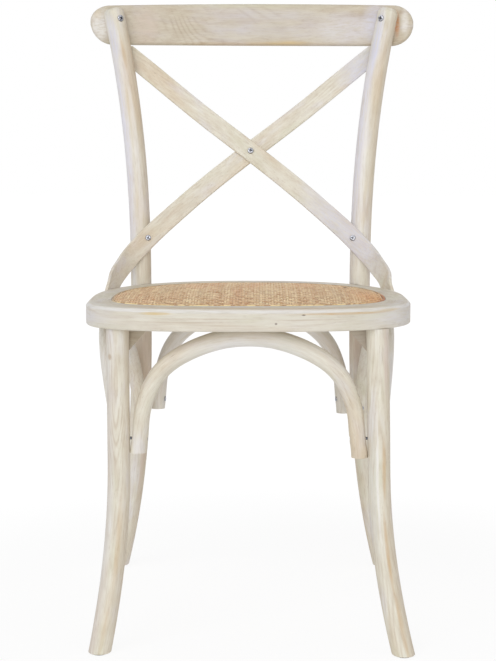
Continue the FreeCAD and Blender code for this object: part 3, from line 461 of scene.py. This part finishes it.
def dress_legs():
    # Each leg's edge pair paints a cool highlight down its left edge and warm shade down its right
    # edge
    dress("front_leg_left", limed(
        "wood_front_leg_left", leg_grain(LEFT, front_leg_centre, FRONT_LEG_TOP), 1.0,
        pith=(0.002, 0.020, -0.10), warmth=0.35, figure=0.85, edge_light_and_shade=(0.25, 0.25),
        swirls=(((0.34, 0.0, -0.015), (0.09, 0.016, 0.04), -0.006),),
        marks=(((0.150, 0.004, -0.010), (0.10, 0.006, 0.02), 0.5, TAN),
               ((0.050, 0.001, -0.010), (0.07, 0.006, 0.02), 0.4, TAN),
               ((0.408, -0.010, -0.010), (0.006, 0.004, 0.02), 0.8, BROWN))))
    dress("front_leg_right", limed(
        "wood_front_leg_right", leg_grain(RIGHT, front_leg_centre, FRONT_LEG_TOP), 2.0,
        pith=(-0.004, 0.024, 0.09), warmth=0.25, figure=0.5, edge_light_and_shade=(0.0, 0.30),
        marks=(((0.235, -0.009, -0.010), (0.15, 0.007, 0.03), 0.5, SILVER),
               ((0.245, -0.003, -0.015), (0.13, 0.003, 0.03), 0.7, WHITE),
               ((0.255, 0.006, -0.010), (0.06, 0.004, 0.03), 0.8, TAN),
               ((0.140, 0.004, -0.010), (0.08, 0.004, 0.03), 0.75, TAN),
               ((0.045, 0.006, -0.010), (0.07, 0.005, 0.03), 0.6, TAN),
               ((0.400, 0.010, -0.010), (0.07, 0.005, 0.03), 0.6, PINKISH))))
    # On both rear legs the lavender band down the left edge of the post is a painted highlight,
    # and the pinkish marks below the seat are painted shade
    dress("rear_leg_left", limed(
        "wood_rear_leg_left", leg_grain(LEFT, rear_leg_centre, REAR_LEG_TOP), 3.0,
        pith=(0.012, 0.022, 0.06), warmth=0.4, figure=0.45, edge_light_and_shade=(0.0, 0.28),
        marks=(((0.680, -0.012, -0.006), (0.260, 0.012, 0.05), 0.9, LAVENDER),
               ((0.380, 0.000, -0.010), (0.080, 0.030, 0.05), 0.5, PINKISH),
               ((0.250, 0.010, -0.010), (0.160, 0.006, 0.05), 0.6, PINKISH),
               ((0.660, 0.003, -0.012), (0.20, 0.006, 0.03), 0.55, WHITE),
               ((0.840, -0.006, -0.012), (0.050, 0.010, 0.03), 0.6, COOL),
               ((0.815, 0.004, -0.012), (0.035, 0.004, 0.03), 0.5, TAN))))
    dress("rear_leg_right", limed(
        "wood_rear_leg_right", leg_grain(RIGHT, rear_leg_centre, REAR_LEG_TOP), 4.0,
        pith=(-0.010, 0.020, -0.07), warmth=0.4, figure=0.45, edge_light_and_shade=(0.0, 0.35),
        marks=(((0.680, -0.012, -0.006), (0.260, 0.012, 0.05), 0.9, LAVENDER),
               ((0.380, 0.000, -0.010), (0.080, 0.030, 0.05), 0.6, PINKISH),
               ((0.250, -0.010, -0.010), (0.160, 0.006, 0.05), 0.4, OLIVE),
               ((0.610, -0.003, -0.012), (0.20, 0.006, 0.03), 0.6, WHITE),
               ((0.830, -0.008, -0.012), (0.070, 0.008, 0.03), 0.8, COOL))))


def dress_back():
    # The crest is darkened all over with painted shade, and its pinkish mark right of the left
    # post is painted shade
    dress("crest_rail", limed(
        "wood_crest", level_grain, 5.0,
        pith=(-0.845, 0.010, 0.22), warmth=0.15, figure=0.70, shade=0.42,
        swirls=(((-0.075, 0.880, 0.19), (0.055, 0.070, 0.2), 0.014),
                ((0.085, 0.846, 0.19), (0.050, 0.035, 0.2), -0.006)),
        marks=(((-0.160, 0.857, 0.18), (0.030, 0.040, 0.1), 0.5, PINKISH),
               ((-0.001, 0.829, 0.18), (0.180, 0.005, 0.1), 0.5, TAN),
               ((0.055, 0.831, 0.18), (0.050, 0.005, 0.1), 0.45, OCHRE),
               ((-0.010, 0.888, 0.18), (0.200, 0.008, 0.1), 0.5, OLIVE),
               ((0.020, 0.850, 0.18), (0.130, 0.020, 0.1), 0.4, MAUVE),
               ((0.222, 0.858, 0.20), (0.006, 0.026, 0.1), 0.95, RUST),
               ((0.234, 0.862, 0.20), (0.008, 0.030, 0.1), 0.6, WHITE),
               ((-0.232, 0.872, 0.20), (0.009, 0.014, 0.1), 0.4, OCHRE),
               ((-0.228, 0.856, 0.20), (0.022, 0.034, 0.1), 0.8, WHITE),
               ((0.190, 0.862, 0.19), (0.026, 0.040, 0.1), 0.7, COOL),
               ((0.150, 0.850, 0.19), (0.080, 0.030, 0.1), 0.5, LAVENDER),
               ((0.030, 0.872, 0.19), (0.120, 0.014, 0.1), 0.45, MAUVE))))
    dress("cross_slat_front", limed(
        "wood_slat_front", slat_grain(LEFT), 7.0,
        pith=(0.02, 0.02, 0.05), warmth=0.35, figure=0.35,
        marks=(((0.240, 0.505, 0.12), (0.110, 0.12, 0.2), 0.6, COOL),)))
    dress("cross_slat_rear", limed(
        "wood_slat_rear", slat_grain(RIGHT), 8.0,
        pith=(0.02, 0.02, -0.05), warmth=0.35, figure=0.35,
        marks=(((0.640, 0.480, 0.10), (0.060, 0.10, 0.3), 0.7, COOL),
               ((0.180, 0.480, -0.10), (0.100, 0.10, 0.3), 0.4, PINKISH))))


def dress_ring():
    # The ring is darkened a little all over with painted shade, and the white band along the
    # chamfer of its outer top edge is a painted highlight
    dress("seat_ring", limed(
        "wood_ring", ring_grain, 6.0,
        pith=(-0.180, -0.448, 0.03), warmth=0.2, figure=0.55, shade=0.12,
        marks=(((0.0, 0.2, 0.4738), (0.9, 0.02, 0.0036), 0.9, WHITE),
               ((0.0, 0.2, 0.4570), (0.60, 0.05, 0.030), 0.40, BONE),
               ((-0.250, 0.2, 0.4600), (0.110, 0.04, 0.02), 0.45, LAVENDER),
               ((0.230, 0.2, 0.4620), (0.110, 0.04, 0.02), 0.40, LAVENDER),
               ((-0.110, 0.2, 0.4706), (0.024, 0.02, 0.0028), 0.9, OCHRE),
               ((0.125, 0.2, 0.4702), (0.085, 0.02, 0.0022), 1.15, TAN),
               ((0.185, 0.2, 0.4722), (0.034, 0.02, 0.0026), 0.5, OCHRE),
               ((-0.050, 0.2, 0.4640), (0.070, 0.02, 0.0010), 0.7, BROWN),
               ((-0.075, 0.2, 0.4592), (0.080, 0.02, 0.0010), 0.6, BROWN),
               ((-0.030, 0.2, 0.4550), (0.060, 0.02, 0.0009), 0.5, BROWN),
               ((0.075, 0.2, 0.4625), (0.060, 0.02, 0.0010), 0.6, BROWN),
               ((0.0, 0.176, 0.4762), (0.28, 0.024, 0.004), 0.6, TAN),
               ((0.0335, 0.2, 0.4577), (0.0022, 0.02, 0.0022), 0.75, SPECK),
               ((0.0667, 0.2, 0.4691), (0.0034, 0.02, 0.0014), 0.9, SPECK),
               ((-0.306, 0.2, 0.4614), (0.0030, 0.04, 0.0020), 0.8, RUST))))
    # The corner blocks are darkened with painted shade where they sit under the seat ring behind
    # the front legs
    dress("corner_blocks", limed("wood_blocks", level_grain, 13.0,
                                 warmth=0.6, figure=0.4, shade=0.6))


def dress_hoops():
    # The white marks on the front, rear and side hoops are painted light on parts that lie in
    # shade under the seat
    dress("hoop_front", limed(
        "wood_hoop_front", cross_hoop_grain(0.148, 0.272, 0.419, 2.34), 9.0,
        warmth=0.4, figure=0.35,
        marks=(((0.0, 0.0, -0.20), (0.130, 0.04, 0.3), 0.6, WHITE),)))
    dress("hoop_rear", limed(
        "wood_hoop_rear", cross_hoop_grain(0.142, 0.270, 0.412, 2.4), 10.0,
        warmth=0.4, figure=0.3,
        marks=(((0.0, 0.0, 0.13), (0.40, 0.08, 0.3), 0.7, WHITE),)))
    middle = (240.0 - ORIGIN_SETBACK) * MM
    for side, seed, warmth in (("left", 11.0, 0.2), ("right", 12.0, 0.5)):
        dress("hoop_" + side, limed(
            "wood_hoop_" + side, side_hoop_grain(middle, 0.165, 0.272, 0.418, 2.3), seed,
            warmth=warmth, figure=0.3,
            marks=(((0.0, 0.0, 0.0), (0.40, 0.08, 0.6), 0.6, WHITE),)))


# Plain board under the seat, steel and plastic

BOARD_PALE, BOARD_BROWN, BOARD_DARK = srgb(206, 180, 142), srgb(178, 146, 106), srgb(140, 108, 76)
STEEL_BRIGHT, STEEL_DULL, STEEL_RECESS_SHADE = srgb(196, 197, 204), srgb(132, 134, 142), srgb(46, 46, 50)
PLASTIC_DARK, PLASTIC_WORN = srgb(44, 41, 38), srgb(74, 70, 65)
RECESS_REACH = 0.0030
STEEL_NODES = ("crest_rail_screws", "slat_post_screws", "slat_top_screws", "slat_foot_screws",
               "hoop_leg_screws", "hoop_crown_screws", "seat_board_screws", "rear_leg_bolts",
               "rear_leg_nuts", "rear_leg_washers", "cross_bolt", "cross_nut")


def board_material():
    material, g, shader = new_material("raw_board")
    place = g.place()
    broad = g.noise(g.stretch(place, (18.0, 2.5, 60.0)), 3.0, 0.6)
    fine = g.noise(g.stretch(place, (700.0, 14.0, 300.0)), 3.0, 0.6)
    colour = g.mix(g.window(broad, 0.35, 0.68), BOARD_PALE, BOARD_BROWN)
    colour = g.stain(colour, fine, 0.45, 0.72, 0.4, BOARD_DARK)
    g.surface(shader, colour, g.scaled(fine, 0.25, 0.60), fine, 0.4, 0.0003)
    return material


def steel_material():
    """Bright steel with painted shade in the drives' recesses."""
    material, g, shader = new_material("bright_steel")
    place = g.place()
    cloud = g.noise(g.stretch(place, (420.0, 420.0, 420.0)), 2.0)
    scratch = g.noise(g.stretch(place, (2600.0, 300.0, 900.0)), 2.0)
    colour = g.mix(g.window(cloud, 0.35, 0.7), STEEL_BRIGHT, STEEL_DULL)
    # Painted shade: darker where the ambient occlusion finds a recess
    recess_shade = g.add("ShaderNodeAmbientOcclusion", samples=8)
    recess_shade.inputs["Distance"].default_value = RECESS_REACH
    colour = g.mix(g.window(recess_shade.outputs["AO"], 0.93, 0.60), colour, STEEL_RECESS_SHADE)
    shader.inputs["Metallic"].default_value = 1.0
    g.surface(shader, colour, g.scaled(scratch, 0.25, 0.16), scratch, 0.2, 0.0001)
    return material


def glide_material():
    material, g, shader = new_material("dark_plastic")
    speck = g.noise(g.stretch(g.place(), (1400.0, 1400.0, 1400.0)), 2.0)
    colour = g.mix(speck, PLASTIC_DARK, PLASTIC_WORN)
    g.surface(shader, colour, g.scaled(speck, 0.3, 0.45), speck, 0.3, 0.0002)
    return material


def dress_fittings():
    dress("seat_board", board_material())
    dress("foot_glides", glide_material())
    steel = steel_material()
    for node in STEEL_NODES:
        dress(node, steel)


dress_legs()
dress_back()
dress_ring()
dress_hoops()
dress_fittings()


# Woven cane seat, sizes in mm

OPENING_HALF = {LEFT: 192.4, RIGHT: 190.2}
OPENING_FRONT, OPENING_WIDEST, OPENING_REAR = 49.0, 158.0, 369.0
CROWN_HEIGHT, CROWN_FULLNESS = 11.5, 2.2
FRONT_SQUARENESS = {LEFT: 3.4, RIGHT: 2.8}
REAR_SQUARENESS = 2.4
WARP_PITCH, WEFT_PITCH = 4.0, 3.6
WARP_FILL, WEFT_FILL = 0.80, 0.88
WARP_CONTRAST, WEFT_CONTRAST = 1.2, 0.3
WEAVE_START = 210.0
MOST_STRANDS = 80
FEWEST_CROSSINGS = 3
STRAND_THICKNESS = 0.95
WEAVE_LIFT = 0.50
WEAVE_DEPTH = 1.0
WEAVE_REACH = 0.982
# A strand's section as shares of its width and thickness
SECTION = ((-0.5, -0.15), (-0.27, 0.5), (0.27, 0.5), (0.5, -0.15), (0.0, -0.5))
CORD_STATIONS, CORD_SIDES = 288, 8
CORD_RADIUS, CORD_INSET, CORD_DEPTH = 1.55, 2.1, 0.55
CORD_TINT = 0.6
WEAVE_SEED = 41

HONEY, STRAW = srgb(222, 190, 150), srgb(246, 224, 184)
AMBER, UMBER = srgb(188, 138, 96), srgb(160, 116, 80)
PEACH, DRY = srgb(224, 172, 132), srgb(206, 190, 158)
ORANGE, BURNT, KNOT = srgb(255, 205, 140), srgb(196, 122, 72), srgb(70, 44, 26)
CORD_DULL = (srgb(170, 140, 108), srgb(206, 178, 140))
CORD_BRIGHT = (srgb(188, 146, 102), srgb(246, 222, 164))


def quadrant(side, setback):
    """Depth and squareness of the quarter of the opening that a point lies in."""
    if setback > OPENING_WIDEST:
        return OPENING_REAR - OPENING_WIDEST, REAR_SQUARENESS
    return OPENING_WIDEST - OPENING_FRONT, FRONT_SQUARENESS[side]


def reach_of(x, setback):
    """0 at the middle of the seat opening and 1 at its edge."""
    side = RIGHT if x > 0 else LEFT
    depth, power = quadrant(side, setback)
    across = abs(x) / OPENING_HALF[side]
    along = abs(setback - OPENING_WIDEST) / depth
    return (across ** power + along ** power) ** (1 / power)


def seat_plane(setback):
    return SEAT_HEIGHT - SLOPE * setback


def crown_height(x, setback):
    """Height of the taut seat's surface."""
    rise = CROWN_HEIGHT * (1 - min(1.0, reach_of(x, setback)) ** CROWN_FULLNESS)
    return seat_plane(setback) + rise


def metres(x, setback, z):
    return x * MM, (setback - ORIGIN_SETBACK) * MM, z * MM


def strand_stations(fixed, pitch, along_x):
    """Crossing numbers and places along one strand that lie inside the opening."""
    rows = []
    for j in range(-MOST_STRANDS, MOST_STRANDS + 1):
        place = j * pitch + (0.0 if along_x else WEAVE_START)
        x, setback = (place, fixed) if along_x else (fixed, place)
        if reach_of(x, setback) < WEAVE_REACH:
            rows.append((j, place))
    return rows


def strand_faces(first, stations, flipped):
    """Faces of a closed strand through its stations, from vertex number first."""
    count = len(SECTION)
    faces = []
    for row in range(stations - 1):
        start = first + row * count
        for k in range(count):
            a, b = start + k, start + (k + 1) % count
            faces.append((a, b, b + count, a + count))
    last = first + (stations - 1) * count
    faces.append(tuple(first + k for k in reversed(range(count))))
    faces.append(tuple(last + k for k in range(count)))
    return [face[::-1] for face in faces] if flipped else faces


def weave_strands(along_x, draw):
    """Vertices, faces and a tint for every vertex of one set of strands. Each strand goes over
    two of the others and under two, one step on from its neighbour."""
    own, other = (WEFT_PITCH, WARP_PITCH) if along_x else (WARP_PITCH, WEFT_PITCH)
    fill, contrast = (WEFT_FILL, WEFT_CONTRAST) if along_x else (WARP_FILL, WARP_CONTRAST)
    vertices, faces, tints = [], [], []
    drift = 0.5
    for i in range(-MOST_STRANDS, MOST_STRANDS + 1):
        drift = 0.6 * drift + 0.4 * draw.random()
        tint = 0.35 * drift + 0.65 * draw.random()
        tint = 0.5 + (tint - 0.5) * contrast
        width = own * fill * draw.uniform(0.92, 1.0)
        nudge = draw.uniform(-0.05, 0.05) * own
        fixed = i * own + (WEAVE_START if along_x else 0.0)
        rows = strand_stations(fixed, other, along_x)
        if len(rows) < FEWEST_CROSSINGS:
            continue
        faces += strand_faces(len(vertices), len(rows), not along_x)
        for j, place in rows:
            warp_above = (i + j) % 4 < 2
            lift = WEAVE_LIFT if warp_above != along_x else -WEAVE_LIFT
            lift += draw.uniform(-0.08, 0.08)
            float_tint = min(1.0, max(0.0, tint + draw.uniform(-0.4, 0.4)))
            for across, up in SECTION:
                side = fixed + nudge + across * width
                x, setback = (place, side) if along_x else (side, place)
                z = crown_height(x, setback) - WEAVE_DEPTH + lift + up * STRAND_THICKNESS
                vertices.append(metres(x, setback, z))
                tints.append(float_tint)
    return vertices, faces, tints


def signed_power(value, power):
    return math.copysign(abs(value) ** power, value)


def edge_point(angle):
    """Point of the opening's edge and its outward direction."""
    c, s = math.cos(angle), math.sin(angle)
    side = RIGHT if c > 0 else LEFT
    depth, power = quadrant(side, OPENING_WIDEST + (1 if s > 0 else -1))
    half = OPENING_HALF[side]
    x, v = half * signed_power(c, 2 / power), depth * signed_power(s, 2 / power)
    out_x = signed_power(x / half, power - 1) / half
    out_v = signed_power(v / depth, power - 1) / depth
    norm = math.hypot(out_x, out_v)
    return x, OPENING_WIDEST + v, out_x / norm, out_v / norm


def edge_cord(draw):
    """Round cord pressed into the groove round the opening."""
    vertices, faces, tints = [], [], []
    for i in range(CORD_STATIONS):
        angle = 2 * math.pi * (i + 0.5) / CORD_STATIONS
        x, setback, out_x, out_v = edge_point(angle)
        x, setback = x - CORD_INSET * out_x, setback - CORD_INSET * out_v
        z = seat_plane(setback) - CORD_DEPTH
        size = CORD_RADIUS * (1 + 0.05 * math.sin(angle * 23) + draw.uniform(-0.02, 0.02))
        for k in range(CORD_SIDES):
            turn = 2 * math.pi * k / CORD_SIDES
            out, up = size * math.cos(turn), size * math.sin(turn)
            vertices.append(metres(x + out * out_x, setback + out * out_v, z + up))
            tints.append(CORD_TINT)
    for i in range(CORD_STATIONS):
        here, there = i * CORD_SIDES, (i + 1) % CORD_STATIONS * CORD_SIDES
        for k in range(CORD_SIDES):
            after = (k + 1) % CORD_SIDES
            faces.append((here + k, there + k, there + after, here + after))
    return vertices, faces, tints


def mesh_object(name, vertices, faces, tints):
    mesh = bpy.data.meshes.new(name)
    mesh.from_pydata(vertices, [], faces)
    mesh.validate()
    mesh.polygons.foreach_set("use_smooth", [True] * len(mesh.polygons))
    layer = mesh.attributes.new("strand_tint", "FLOAT", "POINT")
    layer.data.foreach_set("value", tints)
    mesh.update()
    piece = bpy.data.objects.new(name, mesh)
    bpy.context.scene.collection.objects.link(piece)
    return piece


def weave_colour(g, place, fibre, tip, along_x):
    """Honey coloured strands that vary from float to float, with an orange right end and one
    dark knot."""
    tint = g.add("ShaderNodeAttribute", attribute_name="strand_tint").outputs["Fac"]
    scale = (40.0, 260.0, 260.0) if along_x else (260.0, 40.0, 260.0)
    wander = g.noise(g.stretch(place, scale), 2.0)
    broad = g.noise(g.stretch(place, (26.0, 8.0, 1.0), (2.0, 5.0, 0.0)), 2.0)
    colour = g.mix(g.window(tint, 0.40, 0.95), HONEY, STRAW)
    colour = g.stain(colour, tint, 0.45, 0.05, 0.85, AMBER)
    colour = g.stain(colour, wander, 0.50, 0.70, 0.55, AMBER)
    colour = g.stain(colour, broad, 0.48, 0.66, 0.35, PEACH)
    colour = g.stain(colour, broad, 0.44, 0.30, 0.25, DRY)
    colour = g.stain(colour, fibre, 0.55, 0.75, 0.35, UMBER)
    colour = g.mix(g.scaled(tip, 0.45), colour, g.mix(1.0, colour, ORANGE, "MULTIPLY"))
    knot = g.spot(place, (0.1385, 0.0170, 0.476), (0.0045, 0.0140, 0.05))
    return g.mix(knot, colour, KNOT)


def cord_colour(g, place, tip):
    """Beaded light and dark, brighter at the front of the seat."""
    beads = g.noise(g.stretch(place, (130.0, 40.0, 1.0), (0.6, 0.2, 0.0)), 1.0)
    front = g.window(g.split(place)[1], -0.120, -0.165)
    dull = g.mix(g.window(beads, 0.35, 0.62), *CORD_DULL)
    bright = g.mix(g.window(beads, 0.34, 0.54), *CORD_BRIGHT)
    return g.mix(g.scaled(tip, 0.8), g.mix(front, dull, bright), BURNT)


def cane_material(name, along_x, cord=False):
    material, g, shader = new_material(name)
    place = g.place()
    fine = (150.0, 3200.0, 900.0) if along_x else (3200.0, 150.0, 900.0)
    fibre = g.noise(g.stretch(place, fine), 2.0, 0.6)
    tip = g.spot(place, (0.197, -0.118, 0.476), (0.072, 0.115, 0.05))
    colour = cord_colour(g, place, tip) if cord else weave_colour(g, place, fibre, tip, along_x)
    shader.inputs["Specular IOR Level"].default_value = 0.4
    g.surface(shader, colour, g.scaled(fibre, 0.25, 0.36), fibre, 0.35, 0.0002)
    return material


def make_cane():
    draw = random.Random(WEAVE_SEED)
    pieces = []
    for name, along_x in (("cane_warp", False), ("cane_weft", True)):
        piece = mesh_object(name, *weave_strands(along_x, draw))
        piece.data.materials.append(cane_material(name, along_x))
        pieces.append(piece)
    cord = mesh_object("cane_edge_cord", *edge_cord(draw))
    cord.data.materials.append(cane_material("cane_edge_cord", True, cord=True))
    pieces.append(cord)
    for piece in pieces:
        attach(piece, "root")
        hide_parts("cane_seat")


make_cane()


# Floor, light and camera

FLOOR_HALF = 9.0
FLOOR_TONE = (0.86, 0.86, 0.86, 1.0)
FLOOR_WHITE = 1.04
# Share of white in the floor: everywhere, as seen under the chair, and how far that reaches
FLOOR_GLOW = 0.35
SHADOW_WHITE = 0.86
SHADOW_NEAR, SHADOW_FAR = 0.40, 1.20
WORLD_LEAST, WORLD_FRONT, WORLD_OVERHEAD = 0.40, 0.50, 0.20
WORLD_TONE = (0.98, 0.985, 1.0, 1.0)
# Name, azimuth, elevation, strength, spread and colour
SUNS = (("key", -32.0, 36.0, 0.72, 35.0, (0.97, 0.98, 1.0)),
        ("low_front", -4.0, 10.0, 0.52, 34.0, (1.0, 1.0, 0.99)),
        ("fill", 50.0, 28.0, 0.25, 60.0, (1.0, 0.96, 0.90)),
        ("back", 180.0, 50.0, 0.30, 60.0, (1.0, 1.0, 1.0)))
CAMERA_PLACE = (0.0169, -2.6127, 0.785)
CAMERA_TURN = (math.radians(81.922), 0.0, 0.00755)
CAMERA_LENS, CAMERA_SENSOR, CAMERA_END = 98.8, 36.0, 60.0


def background_rays(g, *kinds):
    """1 for the rays that look at the background rather than light the chair."""
    rays = g.add("ShaderNodeLightPath").outputs
    seen = rays["Is Camera Ray"]
    for kind in kinds:
        seen = g.math("MAXIMUM", seen, rays[kind])
    return seen


def make_floor():
    mesh = bpy.data.meshes.new("floor")
    corners = ((-1, -1), (1, -1), (1, 1), (-1, 1))
    mesh.from_pydata([(x * FLOOR_HALF, y * FLOOR_HALF, 0) for x, y in corners], [], [(0, 1, 2, 3)])
    floor = bpy.data.objects.new("floor", mesh)
    bpy.context.scene.collection.objects.link(floor)
    material, g, shader = new_material("pale_floor")
    shader.inputs["Base Color"].default_value = FLOOR_TONE
    shader.inputs["Roughness"].default_value = 0.9
    shader.inputs["Specular IOR Level"].default_value = 0.0
    light = g.add("ShaderNodeEmission")
    light.inputs["Strength"].default_value = FLOOR_WHITE
    seen = background_rays(g, "Is Glossy Ray")
    white = g.window(g.length(g.place()), SHADOW_NEAR, SHADOW_FAR, SHADOW_WHITE, 1.0)
    mix = g.add("ShaderNodeMixShader")
    g.feed(mix.inputs[0], g.math("MAXIMUM", g.times(seen, white), FLOOR_GLOW))
    g.feed(mix.inputs[1], shader.outputs[0])
    g.feed(mix.inputs[2], light.outputs[0])
    output = material.node_tree.nodes["Material Output"]
    g.feed(output.inputs["Surface"], mix.outputs[0])
    mesh.materials.append(material)


def make_world():
    """Soft light, strongest from the front and weaker from overhead and behind."""
    world = bpy.data.worlds.new("studio")
    bpy.context.scene.world = world
    world.use_nodes = True
    g = Graph(world.node_tree)
    toward = g.split(g.add("ShaderNodeTexCoord").outputs["Generated"])
    ahead = g.scaled(toward[1], -0.5, 0.5)
    level = g.scaled(g.times(ahead, ahead), WORLD_FRONT, WORLD_LEAST)
    overhead = g.math("MAXIMUM", g.scaled(toward[2], WORLD_OVERHEAD), 0.0)
    soft = world.node_tree.nodes["Background"]
    soft.inputs["Color"].default_value = WORLD_TONE
    g.feed(soft.inputs["Strength"], g.math("SUBTRACT", level, overhead))
    white = g.add("ShaderNodeBackground")
    white.inputs["Strength"].default_value = 1.0
    white.inputs["Color"].default_value = (1.0, 1.0, 1.0, 1.0)
    mix = g.add("ShaderNodeMixShader")
    g.feed(mix.inputs[0], background_rays(g, "Is Glossy Ray", "Is Transmission Ray"))
    g.feed(mix.inputs[1], soft.outputs[0])
    g.feed(mix.inputs[2], white.outputs[0])
    g.feed(world.node_tree.nodes["World Output"].inputs["Surface"], mix.outputs[0])


def make_sun(name, azimuth, elevation, strength, spread, colour):
    """A broad soft lamp. Azimuth 0 is in front of the chair, positive to its picture right."""
    lamp = bpy.data.lights.new(name, "SUN")
    lamp.energy = strength
    lamp.angle = math.radians(spread)
    lamp.color = colour
    sun = bpy.data.objects.new(name, lamp)
    bpy.context.scene.collection.objects.link(sun)
    sun.rotation_euler = (math.radians(90 - elevation), 0.0, math.radians(azimuth))


def make_camera():
    lens = bpy.data.cameras.new("camera")
    lens.sensor_width = CAMERA_SENSOR
    lens.lens = CAMERA_LENS
    lens.clip_end = CAMERA_END
    camera = bpy.data.objects.new("camera", lens)
    bpy.context.scene.collection.objects.link(camera)
    camera.location = CAMERA_PLACE
    camera.rotation_euler = CAMERA_TURN
    bpy.context.scene.camera = camera


make_floor()
make_world()
for sun in SUNS:
    make_sun(*sun)
make_camera()
bpy.context.scene.view_settings.view_transform = "Standard"
